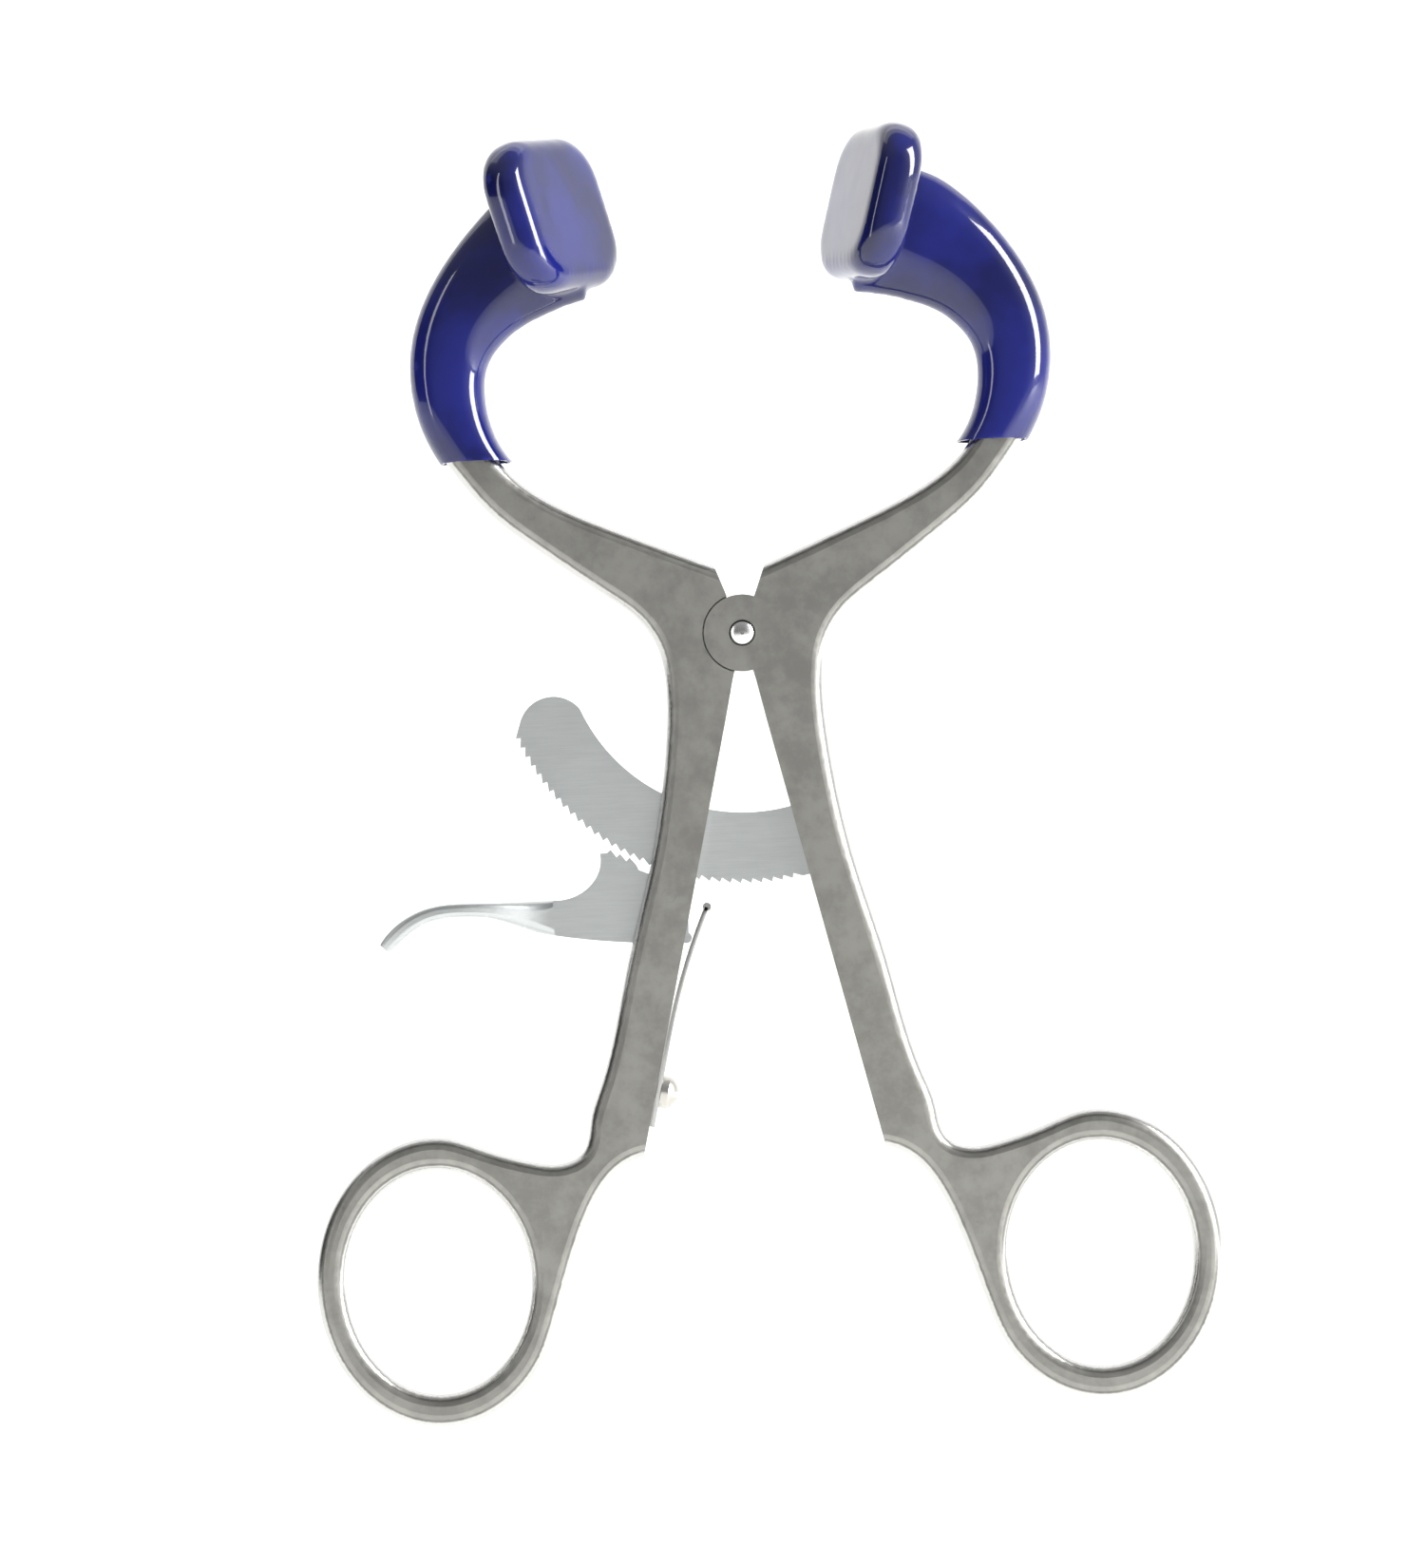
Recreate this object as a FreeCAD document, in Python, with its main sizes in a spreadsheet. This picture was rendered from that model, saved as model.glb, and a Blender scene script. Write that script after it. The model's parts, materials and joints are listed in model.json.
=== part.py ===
import FreeCAD, Part
import math
import os

import Sketcher
from FreeCAD import Placement, Rotation, Vector

# A ratcheted, ring-handled mouth gag: two mirrored steel arms lap at a riveted hinge, a curved rack holds
# them apart through a sprung release lever, and both jaws carry moulded soft covers.
# Millimetres and degrees. +X is to the right, +Z runs from the finger rings to the jaws, and the front of
# the instrument faces -Y. The origin is the centre of the left finger ring.
# Every outline is drawn about the hinge, and each body is then placed by ring_side and ring_drop.

SIZES = {
    # frame
    "arm_thickness": 4.6,  # steel plate that both arms are cut from
    "ring_side": 35.6,  # hinge axis to ring centre, across
    "ring_drop": 68.3,  # hinge axis to ring centre, down
    "ring_hole_half_width": 9.95,
    "ring_hole_half_height": 12.0,
    "ring_band": 3.15,
    "jaw_reach": 30.9,  # hinge axis to the widest point of the jaw's centreline
    "jaw_rise": 42.8,
    # hinge
    "hub_radius": 4.15,
    "hub_clearance": 0.15,  # round each half-lap disc
    "lap_gap": 0.06,  # between the two discs
    "pin_radius": 0.95,
    "pin_flare": 0.25,  # the rivet's head beyond its shank
    "pin_dome": 0.35,
    "sink_margin": 0.22,  # the countersink beyond the rivet's head
    "sink_depth": 1.0,
    "running_clearance": 0.04,
    "press_clearance": 0.01,
    "notch_angle": 20.4,  # half-angle of the vee above the hinge
    "notch_radius": 7.85,
    "nib_angle": 14.0,  # half-angle of the stop below the hinge
    "nib_radius": 5.4,
    # shanks
    "throat_drop": 9.3,  # where the straight inner edge starts, below the hinge
    "throat_half": 2.2,
    "shank_to_ring": 19.67,  # from the line of the shank's inner edge to the ring's centre, across
    "shank_top_width": 5.8,
    "shank_mid_width": 5.1,
    "shank_foot_width": 6.0,
    "shank_foot_above_ring": 18.6,
    "spur_above_ring": 12.5,
    "waist_flesh": 4.35,  # beside the hub, at the narrowest place of the neck
    "edge_round": 1.3,
    # rack and its slots
    "rack_inner_radius": 19.3,
    "rack_outer_radius": 26.9,
    "rack_thickness": 1.9,
    "rack_root_inset": 3.7,  # the rack's end, and its pins, from the right shank's inner edge
    "rack_pin_inset": 2.1,
    "rack_pin_play": 0.05,  # the pins end short of the back face
    "rack_tip_angle": 70.0,
    "tooth_pitch_angle": 2.4,
    "tooth_depth": 0.5,
    "tooth_rake": 20.0,
    "slot_clearance": 0.15,
    "slot_end_clearance": 0.35,
    "rack_pin_radius": 0.7,
    "rack_pin_skin": 0.9,  # steel left over the pins' blind ends, at the front
    # release lever
    "lever_pin_gap": 0.45,  # from the rack's teeth to the lever's boss
    "lever_pin_inset": 2.5,  # from the left shank's inner edge
    "lever_pin_sunk": 0.02,  # below each face of the arm
    "lever_thickness": 1.8,
    "lever_boss_radius": 2.0,
    "lever_pin_radius": 0.75,
    "nose_angle": 34.0,  # the lever's first tooth, from straight down
    "heel_below_pin": 4.6,
    "heel_radius": 0.6,
    "slot_below_boss": 4.65,
    "lever_lift": 6.0,  # from full mesh to clear of the teeth
    "mesh_clearance": 0.05,
    "trigger_width": 6.6,
    # leaf spring
    "spring_thickness": 0.5,
    "spring_width": 3.0,
    "spring_tail": 3.8,  # below the screw
    "spring_flat": 5.8,  # above the screw, as far as the bend
    "spring_past_heel": 3.9,
    "spring_bend_radius": 74.0,
    "spring_tip_radius": 0.45,
    "seat_clearance": 0.02,
    "heel_clearance": 0.08,
    # spring screw
    "screw_above_spur": 7.0,
    "screw_radius": 0.8,
    "screw_play": 0.1,  # in the spring's hole
    "screw_hole_room": 0.3,  # the drilled hole runs on below the screw
    "screw_head_radius": 1.75,
    "screw_head_height": 1.9,
    "screw_grip": 3.4,
    "screw_slot_width": 0.45,
    "screw_slot_depth": 0.6,
    # jaw covers
    "cover_wall": 0.7,
    "cover_round": 2.4,
    "cover_foot_rise": 19.2,  # the cover's straight lower edge, above the hinge
    "pad_length": 17.0,
    "pad_depth": 19.5,
    "pad_thickness": 5.0,
    "pad_corner": 5.5,
    "pad_round": 2.1,
    "pad_core_thickness": 2.4,
    "pad_core_inset": 2.2,
    "left_pad_inset": 12.2,  # pad centre inside the jaw's widest point; the jaws are bent a little unequally
    "right_pad_inset": 15.0,
    "left_pad_turn": 29.0,
    "right_pad_turn": 16.0,
    "pad_lean": 15.0,
    "pad_above_jaw": 3.1,
    "pad_forward": 1.6,  # the pads' middles stand this far in front of the horns'
    "horn_below_pad": 2.6,  # the horn's end below the pad's middle
    "horn_short_of_pad": 0.3,
    "horn_end_width": 12.3,
    "collar_height": 2.1,  # the thickened root where the horn meets the pad
    "collar_depth": 8.8,
    "collar_length": 12.4,
    "collar_drop": 1.45,
    "collar_corner": 2.5,
}

doc = FreeCAD.newDocument("mouth_gag")
sheet = doc.addObject("Spreadsheet::Sheet", "Sizes")
for row, (alias, value) in enumerate(SIZES.items(), 1):
    sheet.set(f"A{row}", alias)
    sheet.set(f"B{row}", str(value))
    sheet.setAlias(f"B{row}", alias)
doc.recompute()

LEFT, RIGHT = -1, 1
FRONT = -1  # the front face is at negative Y


def size(name):
    return float(sheet.get(name))


def cos(angle):
    return math.cos(math.radians(angle))


def sin(angle):
    return math.sin(math.radians(angle))


def polar(radius, angle, side=LEFT):
    """A point at a radius from the hinge and an angle from straight down towards one side."""
    return (side * radius * sin(angle), -radius * cos(angle))


def flat(points, side=RIGHT):
    return [Vector(side * x, z, 0) for x, z in points]


def spline(points):
    curve = Part.BSplineCurve()
    curve.interpolate(points)
    return curve


def lines(points):
    return [Part.LineSegment(a, b) for a, b in zip(points, points[1:])]


def circle(x, z, radius):
    return Part.Circle(Vector(x, z, 0), Vector(0, 0, 1), radius)


# ---- helpers that add features to a body ----


def new_body(name):
    body = doc.addObject("PartDesign::Body", name)
    body.Label = name
    body.setExpression("Placement.Base.x", "Sizes.ring_side")
    body.setExpression("Placement.Base.z", "Sizes.ring_drop")
    return body


def new_sketch(body, name, curves, role="XZ_Plane", offset=None):
    sketch = body.newObject("Sketcher::SketchObject", f"{body.Name}_{name}")
    plane = [p for p in body.Origin.OriginFeatures if p.Role == role][0]
    sketch.AttachmentSupport = [(plane, "")]
    sketch.MapMode = "FlatFace"
    if offset:
        sketch.AttachmentOffset = offset
    sketch.addGeometry(curves, False)
    return sketch


def bind_radius(sketch, index, expression):
    """Hold a circle of a sketch to a size of the sheet."""
    number = sketch.addConstraint(Sketcher.Constraint("Radius", index, sketch.Geometry[index].Radius))
    sketch.setExpression(f"Constraints[{number}]", expression)


def new_pad(body, sketch, length):
    pad = body.newObject("PartDesign::Pad", f"{sketch.Name}_pad")
    pad.Profile = sketch
    pad.SideType = "Symmetric"
    pad.setExpression("Length", length)
    doc.recompute()
    return pad


def new_pocket(body, sketch, length, symmetric=True, reverse=False):
    before = body.Shape.Volume
    pocket = body.newObject("PartDesign::Pocket", f"{sketch.Name}_pocket")
    pocket.Profile = sketch
    if symmetric:
        pocket.SideType = "Symmetric"
    pocket.Reversed = reverse
    pocket.setExpression("Length", length)
    doc.recompute()
    if abs(body.Shape.Volume - before) < 1e-3:
        raise RuntimeError(f"{pocket.Name} cuts nothing")
    return pocket


def new_fillet(body, feature, wanted, radius):
    """Round the edges of the body's last feature that wanted() picks."""
    names = [f"Edge{i}" for i, edge in enumerate(feature.Shape.Edges, 1) if wanted(edge)]
    fillet = body.newObject("PartDesign::Fillet", f"{feature.Name}_round")
    fillet.Base = (feature, names)
    fillet.setExpression("Radius", radius)
    doc.recompute()
    return fillet


def on_faces(edge, half):
    """Whether an edge lies in the front or the back face of a plate."""
    return all(abs(abs(v.Y) - half) < 1e-4 for v in edge.Vertexes)


# ---- outlines shared by the two arms, drawn for the right-hand side ----

SHANK_RUN = size("ring_side") - size("shank_to_ring") - size("throat_half")
TAN_SHANK = SHANK_RUN / (size("ring_drop") - size("throat_drop"))
SHANK_ANGLE = math.degrees(math.atan(TAN_SHANK))

# The jaw's centreline below the pad, as shares of its reach and rise, and the width of its steel there.
JAW_LINE = (
    (0.423, 0.185, 7.0),
    (0.654, 0.283, 5.3),
    (0.804, 0.364, 4.7),
    (0.910, 0.458, 4.7),
    (0.978, 0.561, 5.9),
    (1.000, 0.678, 6.6),
    (0.966, 0.780, 7.6),
    (0.868, 0.882, 9.0),
    (0.738, 0.952, 10.7),
)
COVER_START = 2  # the station of the jaw line just below the cover's edge


def shank_inner(drop):
    return (size("throat_half") + (drop - size("throat_drop")) * TAN_SHANK, -drop)


def shank_outer(drop, width):
    x, z = shank_inner(drop)
    return (x + width * cos(SHANK_ANGLE), z + width * sin(SHANK_ANGLE))


def shank_spot(radius, inset, side):
    """The point at a radius from the hinge that lies an inset into the shank from its inner edge."""
    start = size("throat_half") - size("throat_drop") * TAN_SHANK + inset / cos(SHANK_ANGLE)
    square = 1 + TAN_SHANK**2
    drop = (math.sqrt(radius**2 * square - start**2) - start * TAN_SHANK) / square
    return (side * (start + drop * TAN_SHANK), -drop)


def from_ring(x, z):
    """A point given from the ring's centre, with x towards the outside."""
    return (size("ring_side") + x, z - size("ring_drop"))


def pad_side(side):
    """The pad's centre from the hinge axis, across."""
    return size("jaw_reach") - size("right_pad_inset" if side == RIGHT else "left_pad_inset")


def pad_rise():
    return size("jaw_rise") + size("pad_above_jaw")


def horn_end(side):
    """The end of the jaw's centreline: inside the pad, below its middle and a little short of it."""
    down = size("horn_below_pad")
    x = pad_side(side) - down * math.tan(math.radians(size("pad_lean"))) + size("horn_short_of_pad")
    return (x, pad_rise() - down)


def jaw_edges(side, first=0, grow=0.0):
    """The inner and the outer edge of the jaw, as points along its centreline, each moved out by grow."""
    centres = [(x * size("jaw_reach"), z * size("jaw_rise")) for x, z, _ in JAW_LINE] + [horn_end(side)]
    widths = [width for _, _, width in JAW_LINE] + [size("horn_end_width")]
    inner, outer = [], []
    for i in range(first, len(centres)):
        back, ahead = centres[max(i - 1, 0)], centres[min(i + 1, len(centres) - 1)]
        run = math.hypot(ahead[0] - back[0], ahead[1] - back[1])
        across = ((ahead[1] - back[1]) / run, -(ahead[0] - back[0]) / run)
        half = widths[i] / 2 + grow
        outer.append((centres[i][0] + across[0] * half, centres[i][1] + across[1] * half))
        inner.append((centres[i][0] - across[0] * half, centres[i][1] - across[1] * half))
    return inner, outer


def spur():
    return shank_inner(size("ring_drop") - size("spur_above_ring"))


# Stations of the long edge beside the ring: x from the ring's own side or its centre, z from its centre.
SPUR_SWEEP = ((-6.35, 10.9), (-3.7, 7.2), (-1.75, 2.6))
WEB = ((-10.5, 12.5), (-13.7, 12.15), (-16.0, 13.2))
# Stations outside the hub, as steps out from the waist and heights above the hinge.
WAIST = ((0.0, -4.6), (0.6, -1.4), (2.1, 1.3))
RING_TALL = 1.12  # the band is this much broader at the ring's top and bottom than at its sides
FOOT_SWELL, FOOT_SWELL_RISE = 0.35, 3.2  # how the shank starts to broaden into the ring
TAPER_HALF = 5.0  # half the stretch over which the shank's width changes
SHANK_TOP_DROP = 4.0  # the shank's upper end below the throat
NOTCH_LEAD = (3.9, 1.6)  # from the vee's corner to the first station of the neck's inner edge


def outer_edge(side):
    """The long smooth edge: from the spur, round the finger ring, up the shank and neck to the jaw's end."""
    half_width = size("ring_hole_half_width") + size("ring_band")
    half_height = size("ring_hole_half_height") + size("ring_band") * RING_TALL
    points = [spur()]
    points += [from_ring(x - half_width, z) for x, z in SPUR_SWEEP]
    points += [from_ring(half_width * cos(a), half_height * sin(a)) for a in range(196, 480, 20)]
    points += [from_ring(x, z) for x, z in WEB]
    foot = size("ring_drop") - size("shank_foot_above_ring")
    top = size("throat_drop") + SHANK_TOP_DROP
    points += [shank_outer(foot + FOOT_SWELL_RISE, size("shank_foot_width") + FOOT_SWELL)]
    points += [shank_outer(foot, size("shank_foot_width"))]
    between = (size("shank_foot_width") + size("shank_mid_width")) / 2
    points += [shank_outer((foot + top) / 2 + TAPER_HALF, between)]
    points += [shank_outer((foot + top) / 2 - TAPER_HALF, size("shank_mid_width"))]
    points += [shank_outer(top, size("shank_top_width"))]
    waist = size("hub_radius") + size("waist_flesh")
    points += [(waist + out, z) for out, z in WAIST]
    return points + jaw_edges(side)[1]


def inner_neck_edge(side):
    """From the jaw's end back down the inside of the jaw to the vee above the hinge."""
    notch = (size("notch_radius") * sin(size("notch_angle")), size("notch_radius") * cos(size("notch_angle")))
    return jaw_edges(side)[0][::-1] + [(notch[0] + NOTCH_LEAD[0], notch[1] + NOTCH_LEAD[1]), notch]


def hub_point(radius, angle, below):
    return (radius * sin(angle), -radius * cos(angle) if below else radius * cos(angle))


def arm_outline(side):
    vee_foot = hub_point(size("hub_radius"), size("notch_angle"), below=False)
    nib_top = hub_point(size("hub_radius"), size("nib_angle"), below=True)
    nib_foot = hub_point(size("nib_radius"), size("nib_angle"), below=True)
    outer = outer_edge(side)
    neck = inner_neck_edge(side)
    hub_far = (-size("hub_radius"), 0)
    curves = [Part.Arc(*flat([vee_foot, hub_far, nib_top], side))]
    curves += lines(flat([nib_top, nib_foot, shank_inner(size("throat_drop")), spur()], side))
    curves += [spline(flat(outer, side))]
    curves += lines(flat([outer[-1], neck[0]], side))
    curves += [spline(flat(neck, side))]
    curves += lines(flat([neck[-1], vee_foot], side))
    centre = Vector(side * size("ring_side"), -size("ring_drop"), 0)
    high = centre + Vector(0, size("ring_hole_half_height"), 0)
    wide = centre + Vector(size("ring_hole_half_width"), 0, 0)
    curves += [Part.Ellipse(high, wide, centre)]
    return curves


def rounded_rectangle(width, height, corner):
    """A rectangle centred on the sketch, with round corners."""
    w, t = width / 2, height / 2
    reach = corner * math.sqrt(0.5)
    curves = []
    for k in range(4):
        turn = Rotation(Vector(0, 0, 1), 90 * k)
        a, b = (w, t) if k % 2 == 0 else (t, w)
        start = turn.multVec(Vector(a, b - corner, 0))
        middle = turn.multVec(Vector(a - corner + reach, b - corner + reach, 0))
        end = turn.multVec(Vector(a - corner, b, 0))
        following = turn.multVec(Vector(-a + corner, b, 0))
        curves += [Part.Arc(start, middle, end), Part.LineSegment(end, following)]
    return curves


def pad_offset(side):
    """The place of a bite pad's own plane, given on the body's XZ plane."""
    place = Placement(Vector(side * pad_side(side), pad_rise(), size("pad_forward")), Rotation())
    lean = Rotation(Vector(0, 0, 1), -side * size("pad_lean"))
    turned = size("right_pad_turn" if side == RIGHT else "left_pad_turn")
    turn = Rotation(Vector(0, 1, 0), 90 + side * turned)
    return place * Placement(Vector(), lean * turn)


def add_jaw_plate(body, name, side, inset, thickness):
    outline = rounded_rectangle(
        size("pad_depth") - 2 * inset, size("pad_length") - 2 * inset, size("pad_corner") - inset
    )
    sketch = new_sketch(body, name, outline, offset=pad_offset(side))
    return new_pad(body, sketch, thickness)


def add_collar(body, side):
    """A low boss on the pad's outer face, as wide as the horn that comes in there at a slant."""
    middle = side * (size("pad_thickness") / 2 + size("collar_height")) / 2
    spot = pad_offset(side) * Placement(Vector(0, -size("collar_drop"), middle), Rotation())
    outline = rounded_rectangle(size("collar_depth"), size("collar_length"), size("collar_corner"))
    sketch = new_sketch(body, "collar", outline, offset=spot)
    return new_pad(body, sketch, "Sizes.pad_thickness / 2 + Sizes.collar_height")


# ---- features that more than one piece needs ----


def bore(body, name, x, z, radius, length="Sizes.arm_thickness + 2"):
    sketch = new_sketch(body, name, [circle(x, z, 1.0)])
    bind_radius(sketch, 0, radius)
    return new_pocket(body, sketch, length)


def turn_profile(body, name, profile, offset=None, role="XY_Plane", cut=False):
    """Revolve a profile about its sketch's own vertical axis, to add it or to cut it."""
    sketch = new_sketch(body, name, profile, role=role, offset=offset)
    before = body.Shape.Volume if body.Shape.Solids else 0.0
    kind = "PartDesign::Groove" if cut else "PartDesign::Revolution"
    feature = body.newObject(kind, f"{sketch.Name}_turned")
    feature.Profile = sketch
    feature.ReferenceAxis = (sketch, ["V_Axis"])
    feature.Angle = 360.0
    doc.recompute()
    if cut and abs(body.Shape.Volume - before) < 1e-3:
        raise RuntimeError(f"{feature.Name} cuts nothing")
    return feature


def sector(inner, outer, first, last, side):
    """The outline of a band about the hinge between two angles from straight down."""
    middle = (first + last) / 2
    near = [polar(inner, first, side), polar(outer, first, side)]
    far = [polar(outer, last, side), polar(inner, last, side)]
    outer_arc = Part.Arc(*flat([near[1], polar(outer, middle, side), far[0]]))
    inner_arc = Part.Arc(*flat([far[1], polar(inner, middle, side), near[0]]))
    return lines(flat(near)) + [outer_arc] + lines(flat(far)) + [inner_arc]


def screw_drop():
    """The spring screw's axis below the hinge, where it crosses the shank's inner edge."""
    return size("ring_drop") - size("spur_above_ring") - size("screw_above_spur")


def heel_drop():
    return -lever_pin_place()[1] + size("heel_below_pin")


def lever_pin_place():
    return shank_spot(lever_pin_distance(), size("lever_pin_inset"), LEFT)


def lever_pin_distance():
    """The lever pin's radius from the hinge: its boss just clears the rack."""
    return size("rack_outer_radius") + size("lever_boss_radius") + size("lever_pin_gap")


def shank_frame(drop, axis_up):
    """A plane on the left shank's inner edge: its own Y, or else its own Z, points out of the steel."""
    x, z = shank_inner(drop)
    spot = Vector(LEFT * x, z, 0)
    if axis_up:
        return Placement(spot, Rotation(Vector(0, 0, 1), -90 - SHANK_ANGLE))
    outward = Vector(cos(SHANK_ANGLE), -sin(SHANK_ANGLE), 0)
    return Placement(spot, Rotation(Vector(0, 0, 1), outward))


def spring_surface(drop, offset):
    """A point beside the leaf spring's flat side that faces the shank; offset is towards the shank."""
    across = (LEFT * cos(SHANK_ANGLE), sin(SHANK_ANGLE))  # into the shank
    along = (-LEFT * sin(SHANK_ANGLE), cos(SHANK_ANGLE))  # up the shank
    bend = screw_drop() - size("spring_flat")
    x, z = shank_inner(max(drop, bend))
    radius = size("spring_bend_radius")
    sweep = max(0.0, bend - drop) / cos(SHANK_ANGLE) / radius
    out = size("seat_clearance") + radius
    reach = (radius + offset) * math.cos(sweep) - out
    rise = (radius + offset) * math.sin(sweep)
    return (LEFT * x + across[0] * reach + along[0] * rise, z + across[1] * reach + along[1] * rise)


# ---- the arms ----


def lap_cut(body, side):
    """Clear the half of the hub that the other arm's disc fills: the right arm keeps its front disc."""
    start = Placement(Vector(0, 0, side * size("lap_gap") / 2), Rotation())
    sketch = new_sketch(body, "lap", [circle(0, 0, 1.0)], offset=start)
    bind_radius(sketch, 0, "Sizes.hub_radius + Sizes.hub_clearance")
    pocket = new_pocket(body, sketch, "Sizes.arm_thickness", symmetric=False, reverse=(side == LEFT))
    return pocket


def hinge_bore(body, side, clearance):
    """The hole for the hinge pin, and the shallow cone round its head where this arm's disc shows."""
    bore(body, "hinge_bore", 0, 0, f"Sizes.pin_radius + Sizes.{clearance}")
    face = side * FRONT * size("arm_thickness") / 2
    foot = face - side * FRONT * size("sink_depth")
    narrow = size("pin_radius") + size("sink_margin")
    wide = narrow + size("pin_flare")
    corners = [(0, face), (wide, face), (narrow, foot), (0, foot), (0, face)]
    turn_profile(body, "sink", lines(flat(corners)), cut=True)


def arm(name, side):
    body = new_body(name)
    plate = new_pad(body, new_sketch(body, "outline", arm_outline(side)), "Sizes.arm_thickness")
    half = size("arm_thickness") / 2

    def smooth_edge(edge):
        return on_faces(edge, half) and edge.Curve.TypeId in ("Part::GeomBSplineCurve", "Part::GeomEllipse")

    new_fillet(body, plate, smooth_edge, "Sizes.edge_round")
    add_jaw_plate(body, "jaw_plate", side, size("pad_core_inset"), "Sizes.pad_core_thickness")
    lap_cut(body, side)
    return body


def right_arm():
    body = arm("right_arm", RIGHT)
    hinge_bore(body, RIGHT, "running_clearance")
    gap = size("press_clearance")
    inner, outer = size("rack_inner_radius") - gap, size("rack_outer_radius") + gap
    mouth = size("nib_angle") / 2  # in the open space between the shanks
    socket = sector(inner, outer, mouth, rack_root_angle() + gap, RIGHT)
    sketch = new_sketch(body, "rack_socket", socket)
    new_pocket(body, sketch, "Sizes.rack_thickness + 2 * Sizes.press_clearance")
    back = Placement(Vector(0, 0, -size("arm_thickness") / 2), Rotation())
    for number, (x, z) in enumerate(rack_pin_places(), 1):
        hole = new_sketch(body, f"pin_hole_{number}", [circle(x, z, 1.0)], offset=back)
        bind_radius(hole, 0, "Sizes.rack_pin_radius + Sizes.press_clearance")
        depth = "Sizes.arm_thickness - Sizes.rack_pin_skin"
        new_pocket(body, hole, depth, symmetric=False, reverse=True)
    return body


# The left arm's slot runs between these angles from straight down, past both sides of the shank.
SLOT_FIRST, SLOT_LAST = 4.0, 48.0


def left_arm():
    body = arm("left_arm", LEFT)
    hinge_bore(body, LEFT, "press_clearance")
    inner = size("rack_inner_radius") - size("slot_end_clearance")
    slot = sector(inner, slot_foot_radius(), SLOT_FIRST, SLOT_LAST, LEFT)
    new_pocket(body, new_sketch(body, "slot", slot), "Sizes.rack_thickness + 2 * Sizes.slot_clearance")
    pin = "Sizes.lever_pin_radius + Sizes.press_clearance"
    bore(body, "lever_bore", *lever_pin_place(), pin)
    hole = new_sketch(body, "screw_hole", [circle(0, 0, 1.0)], offset=shank_frame(screw_drop(), False))
    bind_radius(hole, 0, "Sizes.screw_radius + Sizes.press_clearance")
    new_pocket(body, hole, "Sizes.screw_grip + Sizes.screw_hole_room", symmetric=False)
    return body


# ---- hinge pin and rack ----


def dome_middle(radius, base, height):
    """The halfway point of a dome's arc, from its rim at the base to its top on the axis."""
    ball = (radius**2 + height**2) / (2 * height)
    half = math.asin(radius / ball) / 2
    return (abs(ball * math.sin(half)), base + height - ball + ball * math.cos(half))


def hinge_pin():
    """A rivet that flares into both countersinks and is domed at each end."""
    body = new_body("hinge_pin")
    face = size("arm_thickness") / 2
    shank, head = size("pin_radius"), size("pin_radius") + size("pin_flare")
    flare = face - size("sink_depth") * 0.7
    top = face + size("pin_dome")
    side = [(head, -face), (shank, -flare), (shank, flare), (head, face)]
    profile = [Part.Arc(*flat([(0, -top), dome_middle(head, -face, -size("pin_dome")), side[0]]))]
    profile += lines(flat(side))
    profile += [Part.Arc(*flat([side[-1], dome_middle(head, face, size("pin_dome")), (0, top)]))]
    profile += lines(flat([(0, top), (0, -top)]))
    turn_profile(body, "profile", profile)
    return body


def tooth_line(first, count, out=0.0, shift=0.0):
    """Saw teeth along the rack's outer edge: each crest, then its root, from the tip towards the root end."""
    crest, root = size("rack_outer_radius") + out, size("rack_outer_radius") - size("tooth_depth") + out
    lean = math.degrees(size("tooth_depth") * math.tan(math.radians(size("tooth_rake"))) / root)
    points = []
    for i in range(first, first + count):
        angle = size("rack_tip_angle") - i * size("tooth_pitch_angle") - shift
        points += [polar(crest, angle), polar(root, angle - lean)]
    return points


def rack_root_angle():
    """The angle of the rack's buried end, from straight down towards the right."""
    middle = (size("rack_inner_radius") + size("rack_outer_radius")) / 2
    x, _ = shank_spot(middle, size("rack_root_inset"), RIGHT)
    return math.degrees(math.asin(x / middle))


def rack_pin_places():
    """The rack's two pins, a quarter of its width from either edge."""
    quarter = (size("rack_outer_radius") - size("rack_inner_radius")) / 4
    radii = (size("rack_inner_radius") + quarter, size("rack_outer_radius") - quarter)
    return [shank_spot(radius, size("rack_pin_inset"), RIGHT) for radius in radii]


def ratchet_rack():
    """A toothed band about the hinge, with a rounded free end on the left and its root in the right arm."""
    body = new_body("ratchet_rack")
    inner, outer = size("rack_inner_radius"), size("rack_outer_radius")
    tip, root = size("rack_tip_angle"), -rack_root_angle()
    count = int((tip + size("nib_angle") - 2) / size("tooth_pitch_angle"))
    teeth = tooth_line(1, count - 1)
    run_out = polar(outer, tip - count * size("tooth_pitch_angle"))
    start, end = polar(inner, tip - 2.5), polar(outer - 2 * size("tooth_depth"), tip + 0.3)
    curves = [Part.Arc(*flat([start, polar((inner + outer) / 2 - 0.2, tip + 4.4), end]))]
    curves += lines(flat([end] + teeth + [run_out]))
    curves += [Part.Arc(*flat([run_out, polar(outer, root + 3), polar(outer, root)]))]
    curves += lines(flat([polar(outer, root), polar(inner, root)]))
    curves += [Part.Arc(*flat([polar(inner, root), polar(inner, tip / 2), start]))]
    new_pad(body, new_sketch(body, "outline", curves), "Sizes.rack_thickness")
    for number, (x, z) in enumerate(rack_pin_places(), 1):
        bore(body, f"pin_hole_{number}", x, z, "Sizes.rack_pin_radius + Sizes.press_clearance")
    return body


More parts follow.
